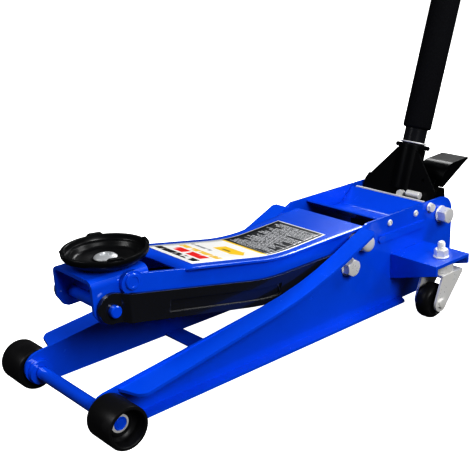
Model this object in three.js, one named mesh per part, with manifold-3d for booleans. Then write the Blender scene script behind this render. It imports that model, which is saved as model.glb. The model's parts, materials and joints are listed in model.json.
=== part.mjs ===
// Low-profile hydraulic trolley jack with a quick-lift pedal, arm part raised, handle leaning back.
// Millimetres, +Z up. The saddle end (nose) faces -Y, the handle is at +Y, right is +X.
// Places are written with the front axle at y = 0 and the floor at z = 0; the whole jack is centred
// over its footprint at the very end.
import * as THREE from "three";
import { mergeVertices } from "three/addons/utils/BufferGeometryUtils.js";
import Module from "manifold-3d";

const wasm = await Module();
wasm.setup();

// ---- fits ----
const touch = 0.3; // gap between pieces that touch
const running = 0.3; // radial play of a shaft in its hole
const side = 1; // side play between plates that turn past each other

// ---- main stations ----
const innerHalf = 79.2; // centre line to the inner face of a side plate
const plate = 4; // side plate and cross member thickness
const webOuter = innerHalf + plate;
const liftShaft = { r: 10, wall: 2.5, capX: webOuter + 17.3 };
const armRear = { y: 464, z: 137.5 - liftShaft.r }; // lift shaft, low enough for the hub on it
const armFront = { y: 76.5, z: 171.5 }; // head pivot
const linkDrop = { y: 32, z: 29 }; // from each arm pivot to the link pivot beside it
const yokePivot = { y: armRear.y + 188, z: 126.5 };
const aft = (distance) => armRear.y + distance; // a station behind the lift shaft

// ---- chassis ----
const groundClear = 8.25; // floor to the lower edge of the side plates
const nose = { y: 3.5, r: 23.8 }; // round front end of a side plate
const climb = { y: aft(-127.4), z: 94.05, r: 526, slope: 0.42, endY: aft(2) }; // of the top edge
const rearDeck = 153.5; // height of the top edge behind the arm
const tailY = yokePivot.y + 31; // rear edge of the side plates
const tailCut = 43; // chamfer at the lower rear corner
const topFlange = { wide: webOuter + 38.8, narrow: webOuter + 25.8, taperY: aft(-118) };
const bottomFlange = { width: 16, frontY: 42, endY: aft(84), cut: 10 };
const rib = { y0: aft(39), y1: aft(152), z: 121, half: 5.5, proud: 3 };
const frontTie = { y0: aft(-254.7), y1: aft(-225.8) };
const rearTie = { y0: aft(92), y1: aft(161) };

// ---- front axle and rollers ----
const roller = { r: 28.5, width: 49, recess: 21, rim: 4.5 };
topFlange.frontZ = groundClear + 2 * nose.r - 0.75;
const overRoller = topFlange.frontZ - plate - 2.3 - roller.r; // room for the roller under the flange
topFlange.frontY = Math.sqrt(roller.r ** 2 - overRoller ** 2);
const ringX = webOuter + side + roller.width - roller.recess + touch;
const axleRing = { wall: 4, t: 2 };
const axle = { r: 9, half: ringX + axleRing.t + 1.5 };
const axleBoss = { wall: 8, length: 8 };

// ---- lifting linkage ----
const knee = { y: aft(-146), fall: 47.6 }; // bend of the arm and the links, and how far they fall to it
const link = { t: 6, up: 21.5, down: 16.5, frontR: 20, rearR: 18, jog: 8, jogY: 57, play: 3.2, rise: 2.5 };
link.rear = innerHalf - link.play - link.t; // inner face beside the link bolt
const head = { half: 46, t: 5, y0: 22, y1: 106, top: 184, bend: 11, low: 18 };
link.front = head.half + 2.7; // inner face beside the link pin
const armPlate = { t: 6, below: 32.2, frontR: 16, gap: 4 };
armPlate.front = head.half + 1.2;
armPlate.rear = link.rear - armPlate.gap - armPlate.t;
const headPin = { r: 7, bossR: 11, bossX: armPlate.front + armPlate.t + 2.8 };
const linkPin = { r: 8, half: link.front + link.t + 7.3 };
const linkBolt = { r: 8, flats: 24, face: webOuter + 14.8 };
const cover = { t: 4, half: armPlate.front + 17.8, rearHalf: armPlate.rear + 12, corner: 16 };
Object.assign(cover, { frontY: 152, bendY: knee.y - 0.7, bendZ: 138.9, rearY: aft(18) });
const coverSlope = { rear: 0.039, r: 320 };
coverSlope.front = (cover.bendZ - armFront.z - 14.35) / (cover.bendY - armFront.y);

// ---- saddle ----
const saddle = { y: 73.7, r: 56, wall: 5, floor: 5.6, height: 20, footR: 36, stem: 15 };
const saddleLug = { width: 22, height: 4, firstAt: 71, count: 4 };
const saddleScrew = { r: 15.5, t: 1.6 };

// ---- hydraulics ----
const ram = { r: 12, length: 108, pinR: 6, eye: 11 };
const heel = { reach: 50, back: 18.5, half: 17, end: 80, x: ram.r + 2, t: 6, play: 2.2, hubWall: 2.2 };
heel.stroke = 35.5; // half of the arm's travel that the slot in a heel is long enough for
const ramTravel = 1.106 * heel.reach; // ram travel per radian of the arm
Object.assign(ram, { pinHalf: heel.x + heel.t + 4, eyeHalf: ram.r + 0.5 });
const tank = { r: 34, wall: 3, y0: aft(63), capT: 5, bore: ram.r + 7 };
rearTie.top = armRear.z - heel.reach - tank.r - 5.8; // clear of the tank
const block = { half: 36, y0: aft(106), y1: aft(152), top: 116 };
const pump = { x: 22, r: 7, y0: block.y1 - 16, rollerR: 8, drop: 31.5, shaftR: 5, rollerHalf: 12 };
const valve = { x: -20, y: block.y1 - 16, r: 6, flats: 14, depth: 17, head: 7.6 };

// ---- yoke, pedal and handle ----
const lean = 18.1; // degrees that the handle leans back
const handle = { r: 18.3, wall: 2.3, lowerEnd: 540, overlap: 40, end: 1004 };
handle.upperR = handle.r - handle.wall - touch;
handle.upperStart = handle.lowerEnd - handle.overlap;
const sleeve = { wall: 4.6, z0: 127, z1: 447 };
const grip = { wall: 3.3, z0: 880, cap: 6 };
const button = { r: 4, proud: 2.5 };
const yokeBolt = { r: 9, flats: 23, face: webOuter + 18.8 };
const yoke = { half: innerHalf - 4.7, t: 5, faceY: -13, earR: 20 };
Object.assign(yoke, { base: 8, shoulder: 30, top: 94, topHalf: 20 }); // of the front plate, up the handle
const socket = { floor: 26, wall: 4.1 };
const collar = { t: 4.6, half: 26, rim: 4, lugR: 3.6 };
const yokeRoller = { x: 38, half: 13, r: 6, z: 21 };
const yokeScrew = { x: 11, z: 17, flats: 13, head: 9 };
const pedal = { x0: 10, x1: 62, t: 4, clear: 2 };
Object.assign(pedal, { foot: { y: 31, z: 33 }, rise: { y: 36, z: 68 }, tip: { y: 99, z: 70.5 }, bend: 28 });
const pedalHub = { r: 11.4, x0: 30, x1: 52, pinR: 6.5 };

// ---- casters and small bolts ----
const caster = { x: webOuter + 65.8, y: aft(106), trail: 21.5, r: 27, half: 12, axleR: 5 };
const fork = { half: 20, t: 3.5, top: caster.r + 43, front: -20, rear: 29, endR: 14, topT: 4 };
const bracket = { top: fork.top + 21, t: 5, y0: caster.y - 40, y1: caster.y + 41, flangeT: 4 };
Object.assign(bracket, { deep: 41, shallow: 15 }); // of its flanges, at the web and at the outer end
bracket.outer = caster.x + 22;
const stud = { r: 6, flats: 19, washerT: 2, nut: 13.5, top: bracket.top + 25 };
Object.assign(stud, { raceR: 19, headR: 10, headT: 4 }); // swivel race and the head under the fork
const tieBolt = { y: aft(159), z: 144, r: 4, flats: 13, face: webOuter + 7.5 };

// ---- rear tray ----
const tray = { y0: aft(48), y1: aft(156), lip: 150.5, low: 127, t: 3 };
const strip = { t: 3.6, height: 5.5 };

const linkRear = { y: armRear.y - linkDrop.y, z: armRear.z - linkDrop.z };
const linkFront = { y: armFront.y - linkDrop.y, z: armFront.z - linkDrop.z };
const rad = THREE.MathUtils.degToRad;

// ---------- solids ----------
function solid(geometry) {
  const g = geometry.index ? geometry.toNonIndexed() : geometry.clone();
  g.deleteAttribute("normal");
  g.deleteAttribute("uv");
  const m = mergeVertices(g, 1e-4);
  const vertProperties = m.attributes.position.array;
  const triVerts = new Uint32Array(m.index.array);
  return new wasm.Manifold(new wasm.Mesh({ numProp: 3, vertProperties, triVerts }));
}

function join(...parts) {
  return parts.reduce((whole, part) => whole.add(part));
}

function cut(body, ...tools) {
  return tools.reduce((rest, tool) => rest.subtract(tool), body);
}

function box(x0, x1, y0, y1, z0, z1) {
  const g = new THREE.BoxGeometry(x1 - x0, y1 - y0, z1 - z0);
  return solid(g.translate((x0 + x1) / 2, (y0 + y1) / 2, (z0 + z1) / 2));
}

// Round bars along each axis, between two stations, at the place given by the other two coordinates.
function barX(r, x0, x1, y, z, sides = 24) {
  const g = new THREE.CylinderGeometry(r, r, x1 - x0, sides).rotateZ(Math.PI / 2);
  return solid(g.translate((x0 + x1) / 2, y, z));
}

function barY(r, y0, y1, x, z, sides = 24) {
  return solid(new THREE.CylinderGeometry(r, r, y1 - y0, sides).translate(x, (y0 + y1) / 2, z));
}

function barZ(r, z0, z1, x, y, sides = 24) {
  const g = new THREE.CylinderGeometry(r, r, z1 - z0, sides).rotateX(Math.PI / 2);
  return solid(g.translate(x, y, (z0 + z1) / 2));
}

const hexR = (flats) => flats / Math.sqrt(3); // corner radius of a hexagon from its width over flats

// A flat outline pushed along an axis: slabX takes (y, z) points, slabY (x, z) and slabZ (x, y).
function slab(points, depth, basis, offset) {
  const shape = new THREE.Shape(points.map(([a, b]) => new THREE.Vector2(a, b)));
  const g = new THREE.ExtrudeGeometry(shape, { depth, bevelEnabled: false });
  return solid(g.applyMatrix4(new THREE.Matrix4().makeBasis(...basis)).translate(...offset));
}

const alongX = new THREE.Vector3(1, 0, 0);
const alongY = new THREE.Vector3(0, 1, 0);
const alongZ = new THREE.Vector3(0, 0, 1);
const slabX = (points, x0, x1) => slab(points, x1 - x0, [alongY, alongZ, alongX], [x0, 0, 0]);
const backY = new THREE.Vector3(0, -1, 0);
const slabY = (points, y0, y1) => slab(points, y1 - y0, [alongX, alongZ, backY], [0, y1, 0]);
const slabZ = (points, z0, z1) => slab(points, z1 - z0, [alongX, alongY, alongZ], [0, 0, z0]);

// A closed (radius, height) profile turned about the Z axis.
function turned(profile, sides = 32) {
  const points = profile.map(([r, z]) => new THREE.Vector2(r, z));
  return solid(new THREE.LatheGeometry(points, sides).rotateX(Math.PI / 2));
}

function arc(cy, cz, r, from, to, steps) {
  return Array.from({ length: steps + 1 }, (_, i) => {
    const a = rad(from + ((to - from) * i) / steps);
    return [cy + r * Math.cos(a), cz + r * Math.sin(a)];
  });
}

// A run of straight stretches whose inner corners are rounded.
function rounded(points, radius, steps = 6) {
  const out = [points[0]];
  for (let i = 1; i < points.length - 1; i++) {
    const [p, q, s] = [points[i - 1], points[i], points[i + 1]].map((v) => new THREE.Vector2(...v));
    const back = p.clone().sub(q).normalize();
    const on = s.clone().sub(q).normalize();
    const half = Math.acos(THREE.MathUtils.clamp(back.dot(on), -1, 1)) / 2;
    const middle = back.clone().add(on).normalize();
    const centre = q.clone().addScaledVector(middle, radius / Math.sin(half));
    const start = q.clone().addScaledVector(back, radius / Math.tan(half)).sub(centre);
    const sweep = (Math.PI - 2 * half) * Math.sign(start.cross(middle.clone().negate()));
    for (let k = 0; k <= steps; k++) {
      const v = start.clone().rotateAround(new THREE.Vector2(), (sweep * k) / steps).add(centre);
      out.push([v.x, v.y]);
    }
  }
  return [...out, points.at(-1)];
}

// The outline of a sheet that follows a line, from `up` above it to `down` below it.
function sheet(line, up, down) {
  const shifted = (d) =>
    line.map(([y, z], i) => {
      const [a, b] = [line[Math.max(i - 1, 0)], line[Math.min(i + 1, line.length - 1)]];
      const n = new THREE.Vector2(a[1] - b[1], b[0] - a[0]).normalize();
      return [y + n.x * d, z + n.y * d];
    });
  return [...shifted(up), ...shifted(-down).reverse()];
}

// ---------- materials ----------
function paint(color, roughness, metalness) {
  return () => new THREE.MeshStandardMaterial({ color, roughness, metalness });
}
const blue = paint(0x0a3fe0, 0.3, 0.1);
const black = paint(0x111214, 0.35, 0.1);
const zinc = paint(0xd3d8dc, 0.35, 1);
const steel = paint(0x9a9ea3, 0.3, 1);
const iron = paint(0x3a3c40, 0.6, 0.6);
const nylon = paint(0x0c0c0d, 0.4, 0);
const foam = paint(0x25252b, 0.8, 0);
const rubber = paint(0x161617, 0.85, 0);

const jack = new THREE.Group();

function addTo(group, name, body, material) {
  const m = body.getMesh();
  const g = new THREE.BufferGeometry();
  g.setAttribute("position", new THREE.BufferAttribute(m.vertProperties, m.numProp));
  g.setIndex(new THREE.BufferAttribute(m.triVerts, 1));
  const mesh = new THREE.Mesh(g, material());
  mesh.name = name;
  group.add(mesh);
  return mesh;
}

const add = (name, body, material) => addTo(jack, name, body, material);

// The same piece on both sides: made for the right, mirrored for the left.
function addPair(name, body, material) {
  add(`${name}_right`, body, material);
  add(`${name}_left`, body, material).scale.x = -1;
}

// A hexagon-headed stub along X: a shank, a washer against the side plate and a nut or head on it.
function hexStub({ r, flats, face }, x0, { y, z }) {
  const washerT = 2.5;
  const seat = webOuter + touch;
  const shank = barX(r, x0, seat + washerT, y, z, 20);
  const washer = barX(flats * 0.62, seat, seat + washerT, y, z, 20);
  return join(shank, washer, barX(hexR(flats), seat + washerT - 0.1, face, y, z, 6));
}

// ---------- chassis ----------
function climbLine() {
  const { y, z, slope, endY } = climb;
  const noseTop = [nose.y, groundClear + 2 * nose.r];
  return rounded([noseTop, [y, z], [endY, z + (endY - y) * slope]], climb.r, 4).slice(1);
}

function sidePlate() {
  const line = climbLine();
  const tail = rearDeck - yokePivot.z + 1;
  const outline = [
    [nose.y, groundClear],
    [tailY - tailCut, groundClear],
    [tailY, groundClear + tailCut],
    ...arc(tailY - tail, rearDeck - tail, tail, 0, 90, 6),
    [climb.endY + 11, rearDeck],
    ...line.toReversed(),
    ...arc(nose.y, groundClear + nose.r, nose.r, 97, 263, 10),
  ];
  const start = [topFlange.frontY, topFlange.frontZ];
  const wide = topFlange.wide;
  const plan = [
    [innerHalf, topFlange.frontY],
    ...[[7, 2], [22, 6], [35, 9.5]].map(([x, y]) => [innerHalf + x, topFlange.frontY + y]),
    ...arc(wide - 9, topFlange.frontY + 21, 9, -50, 0, 4),
    [topFlange.narrow, topFlange.taperY],
    [topFlange.narrow, climb.endY - 4],
    [topFlange.narrow - 8, climb.endY + 2],
    [innerHalf, climb.endY + 2],
  ];
  const flange = slabX(sheet([start, ...line], 0, plate), innerHalf, wide + 2);
  const lip = bottomFlange;
  const foot = slabZ([
    [webOuter - 1, lip.frontY],
    [webOuter + lip.width - 5, lip.frontY],
    [webOuter + lip.width, lip.frontY + 8],
    [webOuter + lip.width, lip.endY],
    [webOuter - 1, lip.endY + lip.cut],
  ], groundClear, groundClear + plate);
  const ribbed = rounded([[rib.y0, rib.z - rib.half], [rib.y1 - 4, rib.z - rib.half]], 1);
  const swage = slabX([
    ...ribbed,
    [rib.y1, rib.z],
    [rib.y1 - 4, rib.z + rib.half],
    [rib.y0, rib.z + rib.half],
    [rib.y0 - 4, rib.z],
  ], webOuter - 1, webOuter + rib.proud);
  const boss = barX(axle.r + axleBoss.wall, innerHalf - axleBoss.length, innerHalf + 1, 0, roller.r);
  const body = join(
    slabX(outline, innerHalf, webOuter),
    flange.intersect(slabZ(plan, 0, rearDeck + 20)),
    foot,
    swage,
    boss,
  );
  const hole = (r, p) => barX(r + running, innerHalf - 20, webOuter + 20, p.y, p.z);
  return cut(
    body,
    hole(axle.r, { y: 0, z: roller.r }),
    hole(liftShaft.r, armRear),
    hole(linkBolt.r, linkRear),
    hole(yokeBolt.r, yokePivot),
    hole(tieBolt.r, tieBolt),
  );
}

function crossPlate(spec, top, t) {
  const half = innerHalf - touch;
  return box(-half, half, spec.y0, spec.y1, top - t, top);
}

function trayCover() {
  const half = innerHalf - touch;
  const { y0, y1, lip, low } = tray;
  const line = rounded([[y0, lip], [y0 + 30, low + 3], [y1 - 28, low], [y1, lip]], 14, 4);
  return slabX(sheet(line, 0, tray.t), -half, half);
}

function trayStrip() {
  const y0 = tray.y1 + tray.t * 0.45 + touch + 1;
  const half = innerHalf - 7;
  return box(-half, half, y0, y0 + strip.t, tray.lip + 1 - strip.height, tray.lip + 1);
}

addPair("side_plate", sidePlate(), blue);
add("front_cross_plate", crossPlate(frontTie, groundClear + plate, plate), blue);
add("rear_cross_plate", crossPlate(rearTie, rearTie.top, plate + 1), blue);
add("rear_tray", trayCover(), blue);
add("rear_tray_strip", trayStrip(), zinc);
addPair("tie_bolt", hexStub(tieBolt, innerHalf, tieBolt), zinc);

// ---------- front axle and rollers ----------
function frontRoller() {
  const inner = webOuter + side;
  const outer = inner + roller.width;
  const { r, rim, recess } = roller;
  const tyre = turned([
    [0, inner], [r - 2, inner], [r, inner + 2], [r, outer - 2], [r - 1.5, outer], [r - rim, outer],
    [r - rim - 1, outer - 2], [axle.r + axleRing.wall + 3, outer - recess], [0, outer - recess],
  ]);
  return cut(tyre, barZ(axle.r + running, inner - 1, outer, 0, 0));
}

function addRollers() {
  const body = frontRoller();
  for (const [name, sign] of [["right", 1], ["left", -1]]) {
    const mesh = add(`front_roller_${name}`, body, nylon);
    mesh.rotation.y = (sign * Math.PI) / 2;
    mesh.position.z = roller.r;
  }
}

const ring = cut(
  barX(axle.r + axleRing.wall, ringX, ringX + axleRing.t, 0, roller.r),
  barX(axle.r + running, ringX - 1, ringX + axleRing.t + 1, 0, roller.r),
);
add("front_axle", barX(axle.r, -axle.half, axle.half, 0, roller.r), blue);
addPair("axle_ring", ring, zinc);
addRollers();

// ---------- lifting arm ----------
// The top face of the cover: it falls from the nose, bends, and rises a little to the lift shaft.
function coverLine(from, to) {
  const { bendY, bendZ } = cover;
  const front = [from, bendZ + (from - bendY) * coverSlope.front];
  const rear = [to, bendZ + (to - bendY) * coverSlope.rear];
  return rounded([front, [bendY, bendZ], rear], coverSlope.r, 8);
}

const shelf = cover.t + touch; // top edge of the arm plates below the cover's top face

function armOuter(y) {
  const k = (y - armFront.y) / (armRear.y - armFront.y);
  return armPlate.front + (armPlate.rear - armPlate.front) * k + armPlate.t;
}

function armSide() {
  const line = coverLine(armFront.y, armRear.y + 12);
  const { frontR, below } = armPlate;
  const profile = join(
    slabX(sheet(line, -shelf, below), 0, 200),
    barX(frontR, 0, 200, armFront.y, armFront.z - 2),
  );
  const [y0, y1] = [armFront.y - 40, armRear.y + 40];
  const plan = [
    [armOuter(y0) - armPlate.t, y0], [armOuter(y0), y0], [armOuter(y1), y1], [armOuter(y1) - armPlate.t, y1],
  ];
  return cut(
    profile.intersect(slabZ(plan, 0, 300)),
    barX(headPin.r + running, 0, 200, armFront.y, armFront.z),
    barX(liftShaft.r + running, 0, 200, armRear.y, armRear.z),
  );
}

function armCover() {
  const line = coverLine(cover.frontY, cover.rearY);
  const { corner } = cover;
  const plan = [
    ...arc(cover.half - corner, cover.frontY + corner, corner, -90, 0, 5),
    [cover.half, cover.bendY + 33],
    [cover.rearHalf, cover.rearY + 5],
  ];
  const mirrored = plan.map(([x, y]) => [-x, y]).reverse();
  const outline = slabZ([...plan, ...mirrored], 0, 300);
  return slabX(sheet(line, 0, cover.t), -200, 200).intersect(outline);
}

function headPivotPin() {
  const half = headPin.bossX;
  const bossInner = armOuter(armFront.y + headPin.bossR) + touch;
  const pin = barX(headPin.r, -half, half, armFront.y, armFront.z);
  const boss = (a, b) => barX(headPin.bossR, a, b, armFront.y, armFront.z);
  return join(pin, boss(bossInner, half), boss(-half, -bossInner));
}

// The rocker: a tube round the lift shaft with two slotted heels that the ram pin pushes.
function armRocker() {
  const hubHalf = armPlate.rear - 1;
  const a = rad(heel.back);
  const along = (s, w) => [
    armRear.y + s * Math.sin(a) + w * Math.cos(a),
    armRear.z - s * Math.cos(a) + w * Math.sin(a),
  ];
  const strip4 = (s0, s1, w) => [along(s0, -w), along(s1, -w), along(s1, w), along(s0, w)];
  const slotHalf = ram.pinR + heel.play;
  const far = heel.reach / Math.cos(rad(heel.stroke)) + slotHalf;
  const heels = [heel.x, -heel.x - heel.t].map((x) =>
    cut(
      slabX(strip4(0, heel.end, heel.half), x, x + heel.t),
      slabX(strip4(heel.reach - slotHalf, far, slotHalf), x - 1, x + heel.t + 1),
    ),
  );
  const hub = barX(liftShaft.r + running + heel.hubWall, -hubHalf, hubHalf, armRear.y, armRear.z);
  return cut(join(hub, ...heels), barX(liftShaft.r + running, -200, 200, armRear.y, armRear.z));
}

function liftShaftBody() {
  const { r, wall, capX } = liftShaft;
  const cap = (x0, x1) => barX(r + wall, x0, x1, armRear.y, armRear.z, 28);
  const seat = webOuter + touch;
  return join(barX(r, -capX, capX, armRear.y, armRear.z), cap(seat, capX), cap(-capX, -seat));
}

addPair("arm_plate", armSide(), blue);
add("arm_cover", armCover(), blue);
add("arm_rocker", armRocker(), iron);
add("head_pivot_pin", headPivotPin(), blue);
add("lift_shaft", liftShaftBody(), zinc);

// ---------- levelling links ----------
function levelLink() {
  const kneeY = knee.y - linkDrop.y;
  const kneeZ = linkFront.z - knee.fall;
  const ends = [linkFront, linkRear].map(({ y, z }) => [y, z]);
  const line = rounded([ends[0], [kneeY, kneeZ], ends[1]], coverSlope.r, 6);
  const profile = join(
    slabX(sheet(line, link.up, link.down), 0, 200),
    barX(link.frontR, 0, 200, linkFront.y, linkFront.z + link.rise),
    barX(link.rearR, 0, 200, linkRear.y, linkRear.z),
  );
  const { front, jog, rear, jogY, t } = link;
  const endY = linkRear.y + 30;
  const inner = [[front, 0], [front, jogY], [front + jog, jogY + jog], [rear + 0.6, endY]];
  const outer = inner.map(([x, y]) => [x + t, y - t * 0.15]);
  outer[0][1] = 0;
  outer[3][1] = endY;
  const [start, end] = [jogY + 65, kneeY + 19];
  const startZ = kneeZ + (kneeY - start) * (knee.fall / (kneeY - linkFront.y));
  const grooveLine = rounded([[start, startZ], [kneeY, kneeZ + 1], [end, kneeZ + 2]], 200, 4);
  const groove = sheet(grooveLine, 8, 8);
  const face = [[front + jog + t - 2, 100], [rear + 0.6 + t - 2, endY], [rear + 30, endY], [rear + 30, 100]];
  return cut(
    profile.intersect(slabZ([...inner, ...outer.reverse()], 0, 300)),
    slabX(groove, 0, 200).intersect(slabZ(face, 0, 300)),
    barX(linkPin.r + running, 0, 200, linkFront.y, linkFront.z),
    barX(linkBolt.r + running, 0, 200, linkRear.y, linkRear.z),
  );
}

addPair("level_link", levelLink(), black);
addPair("link_bolt", hexStub(linkBolt, link.rear + touch, linkRear), zinc);

// ---------- head and saddle ----------
function headBracket() {
  const { half, t, y0, y1, top, bend, low } = head;
  const foot = linkFront.z - low;
  const outer = [[half, foot], ...arc(half - bend, top - bend, bend, 0, 90, 6)];
  const inner = [[half - t, foot - 1], ...arc(half - bend, top - bend, bend - t, 0, 90, 4)];
  const section = (side1) => [...side1, ...side1.map(([x, z]) => [-x, z]).reverse()];
  const shell = cut(slabY(section(outer), y0, y1), slabY(section(inner), y0 - 1, y1 + 1));
  const profile = [
    [y0, top + 1], [y0, linkFront.z - 2], [y0 + 8, foot + 3], [linkFront.y - 8, foot],
    [linkFront.y + 8, foot],
    [linkFront.y + 18, foot + 6], [armFront.y + 12, armFront.z - 14], [y1, armFront.z - 1], [y1, top + 1],
  ];
  return cut(
    shell.intersect(slabX(profile, -half - 1, half + 1)),
    barX(headPin.r + running, -half - 1, half + 1, armFront.y, armFront.z),
    barX(linkPin.r + running, -half - 1, half + 1, linkFront.y, linkFront.z),
    barZ(saddle.stem + running, top - t - 1, top + 1, 0, saddle.y),
  );
}

function saddleCup() {
  const base = head.top + 0.4;
  const { r, wall, floor, height, footR, stem } = saddle;
  const cup = turned([
    [0, head.top - head.t + touch], [stem, head.top - head.t + touch], [stem, base], [footR, base],
    [r - 6, base + 7], [r, base + height - 6], [r, base + height], [r - wall, base + height],
    [r - wall - 1.5, base + floor + 3], [r - wall - 5, base + floor], [0, base + floor],
  ], 40);
  const lugs = Array.from({ length: saddleLug.count }, (_, i) => {
    const g = new THREE.BoxGeometry(wall - 1, saddleLug.width, saddleLug.height);
    const deg = saddleLug.firstAt + (360 * i) / saddleLug.count;
    g.translate(r - wall / 2 - 0.3, 0, base + height + saddleLug.height / 2 - 1).rotateZ(rad(deg));
    return solid(g);
  });
  return join(cup, ...lugs);
}

add("head_bracket", headBracket(), blue);
add("link_pin", barX(linkPin.r, -linkPin.half, linkPin.half, linkFront.y, linkFront.z), blue);
add("saddle_cup", saddleCup(), black).position.y = saddle.y;
const screwBase = head.top + 0.4 + saddle.floor + touch;
add("saddle_screw", barZ(saddleScrew.r, screwBase, screwBase + saddleScrew.t, 0, saddle.y), zinc);

// ---------- hydraulic unit ----------
const ramZ = armRear.z - heel.reach;
const ramPinY = armRear.y + ramTravel * rad(heel.back);
const pumpZ = yokePivot.z - pump.drop;

function ramBody() {
  const body = join(
    barY(ram.r, ramPinY, ramPinY + ram.length, 0, ramZ),
    barX(ram.eye, -ram.eyeHalf, ram.eyeHalf, ramPinY, ramZ),
  );
  return cut(body, barX(ram.pinR + running, -200, 200, ramPinY, ramZ));
}

function tankTube() {
  const [y0, y1] = [tank.y0 + tank.capT + touch, block.y0 - touch];
  return cut(barY(tank.r, y0, y1, 0, ramZ, 32), barY(tank.r - tank.wall, y0 - 1, y1 + 1, 0, ramZ, 32));
}

function cylinderTube() {
  const [y0, y1] = [tank.y0 + tank.capT + touch, block.y0 - touch];
  return cut(barY(tank.bore, y0, y1, 0, ramZ), barY(ram.r + running, y0 - 1, y1 + 1, 0, ramZ));
}

function pumpBlock() {
  const body = box(-block.half, block.half, block.y0, block.y1, rearTie.top + touch, block.top);
  const { x, y, r, depth } = valve;
  return cut(
    body,
    barY(ram.r + running, block.y0 - 1, block.y1 - 8, 0, ramZ),
    barY(pump.r + running, block.y0 + 4, block.y1 + 1, pump.x, pumpZ),
    barZ(r + running, block.top - depth - 1, block.top + 1, x, y),
  );
}

function releaseValve() {
  const { x, y, r, flats, depth, head: h } = valve;
  const seat = block.top + touch;
  return join(barZ(r, block.top - depth, seat + 1, x, y), barZ(hexR(flats), seat, seat + h, x, y, 6));
}

add("ram", ramBody(), steel);
add("ram_pin", barX(ram.pinR, -ram.pinHalf, ram.pinHalf, ramPinY, ramZ), steel);
add("tank_tube", tankTube(), black);
add("tank_cap", cut(
  barY(tank.r, tank.y0, tank.y0 + tank.capT, 0, ramZ, 32),
  barY(ram.r + running, tank.y0 - 1, tank.y0 + tank.capT + 1, 0, ramZ),
), iron);
add("ram_cylinder", cylinderTube(), steel);
add("pump_block", pumpBlock(), iron);
add("release_valve", releaseValve(), zinc);
const plungerTip = yokePivot.y - pump.rollerR - 0.5;
add("pump_plunger", barY(pump.r, pump.y0, plungerTip, pump.x, pumpZ), steel);

// ---------- handle yoke (its own frame: z up the handle, origin on the pivot) ----------
const tilted = new THREE.Group();
tilted.position.set(0, yokePivot.y, yokePivot.z);
tilted.rotation.x = -rad(lean);
jack.add(tilted);

const socketR = handle.r + 0.4;
const socketOuter = socketR + socket.wall;
const earInner = yoke.half - yoke.t;
const rollerAt = { y: pump.drop * Math.sin(rad(lean)), z: -pump.drop * Math.cos(rad(lean)) };

function yokeBody() {
  const { half, t, faceY, base, shoulder, top, topHalf, earR } = yoke;
  const front = [[half, base], [half, shoulder], [topHalf, top - 2]];
  const face = slabY([...front, ...front.map(([x, z]) => [-x, z]).reverse()], faceY, faceY + t - 1);
  const earOutline = [
    [faceY, -4], [faceY, shoulder], [faceY + 7, shoulder + 11], [faceY + 21, shoulder + 11],
    [earR, 18], [earR, 0],
    [rollerAt.y + 11, rollerAt.z], [rollerAt.y - 11, rollerAt.z],
  ];
  const ears = [earInner, -half].map((x) =>
    join(
      slabX(earOutline, x, x + t),
      barX(earR, x, x + t, 0, 0, 28),
      barX(11, x, x + t, rollerAt.y, rollerAt.z, 20),
    ),
  );
  const body = join(
    face,
    ...ears,
    box(-earInner - 1, earInner + 1, faceY, -2, socket.floor, shoulder),
    barZ(socketOuter, socket.floor, top, 0, 0, 32),
  );
  return cut(
    body,
    barZ(socketR, shoulder, top + 1, 0, 0, 32),
    barX(yokeBolt.r + running, -200, 200, 0, 0),
    barX(pump.shaftR + running, -200, 200, rollerAt.y, rollerAt.z),
    barY(2.6, faceY - 1, faceY + t, 45, 46, 12),
  );
}

function yokeCollar() {
  const z0 = yoke.top + touch;
  const { t, half, rim, lugR } = collar;
  const body = join(
    barZ(socketR + rim, z0, z0 + t, 0, 0, 32),
    box(-half, half, -7, 7, z0, z0 + t),
    ...[-half, half].map((x) => barY(lugR, -8, 8, x, z0 + t / 2 + 1, 16)),
  );
  return cut(body, barZ(socketR, z0 - 1, z0 + t + 5, 0, 0, 32));
}

function pumpRollerBody() {
  const { y, z } = rollerAt;
  const half = yoke.half - 0.5;
  return join(
    barX(pump.shaftR, -half, half, y, z, 20),
    barX(pump.rollerR, pump.x - pump.rollerHalf, pump.x + pump.rollerHalf, y, z),
  );
}

function frontScrew() {
  const { x, z, flats, head: h } = yokeScrew;
  const seat = yoke.faceY - touch;
  return join(barY(flats * 0.6, seat - 1.5, seat, x, z, 20), barY(hexR(flats), seat - h, seat - 1, x, z, 6));
}

function releasePin() {
  const { x, half, r, z } = yokeRoller;
  return barX(r, x - half, x + half, yoke.faceY - touch - r, z);
}

addTo(tilted, "handle_yoke", yokeBody(), black);
addTo(tilted, "yoke_collar", yokeCollar(), black);
addTo(tilted, "pump_roller", pumpRollerBody(), steel);
addTo(tilted, "release_pin", releasePin(), zinc);
addTo(tilted, "yoke_screw", frontScrew(), zinc);
const pinEnd = earInner - touch;
addTo(tilted, "pedal_pin", barX(pedalHub.pinR, pedalHub.x0 - 4, pinEnd, 0, 0), steel);
addPair("yoke_bolt", hexStub(yokeBolt, earInner + 0.2, yokePivot), zinc);

// ---------- handle ----------
function pipe(r, wall, z0, z1) {
  return cut(barZ(r, z0, z1, 0, 0, 32), barZ(r - wall, z0 - 1, z1 + 1, 0, 0, 32));
}

function handleGrip() {
  const bore = handle.upperR + touch;
  const top = handle.end + grip.cap;
  const hollow = barZ(bore, grip.z0 - 1, handle.end + touch, 0, 0, 32);
  return cut(barZ(bore + grip.wall, grip.z0, top, 0, 0, 32), hollow);
}

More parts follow.
